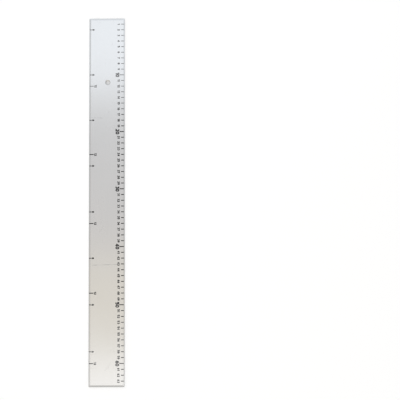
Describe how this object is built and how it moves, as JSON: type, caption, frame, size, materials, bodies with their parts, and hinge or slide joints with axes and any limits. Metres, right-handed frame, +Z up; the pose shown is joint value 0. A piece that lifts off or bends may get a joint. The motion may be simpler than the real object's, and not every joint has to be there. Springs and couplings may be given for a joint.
{
  "type": "cake portion marker",
  "caption": "Flat satin aluminium rule with bevelled edges, a hanging hole, an engraved centimetre scale on one edge and portion marks on the other, for marking cuts across a cake tray.",
  "frame": {"origin": "middle of the back face, on the surface that the rule lies on", "axes": "+X along the blade from the zero end to the far end, +Y across it towards the centimetre scale, +Z up out of the marked face"},
  "size_m": [0.64, 0.062, 0.002],
  "materials": {
    "satin_aluminium": "satin, finely brushed along the length",
    "black_fill": "matt enamel in engraved marks"
  },
  "bodies": {
    "root": {"blade": "satin_aluminium", "tens_mark_10": "black_fill", "tens_mark_20": "black_fill", "tens_mark_30": "black_fill", "tens_mark_40": "black_fill", "tens_mark_50": "black_fill", "tens_mark_60": "black_fill", "short_mark_02": "black_fill", "short_mark_10": "black_fill", "short_mark_18": "black_fill", "short_mark_26": "black_fill", "short_mark_34": "black_fill", "short_mark_42": "black_fill", "short_mark_50": "black_fill", "short_mark_58": "black_fill", "long_mark_12": "black_fill", "long_mark_24": "black_fill", "long_mark_36": "black_fill", "long_mark_48": "black_fill", "long_mark_60": "black_fill"}
  },
  "joints": []
}
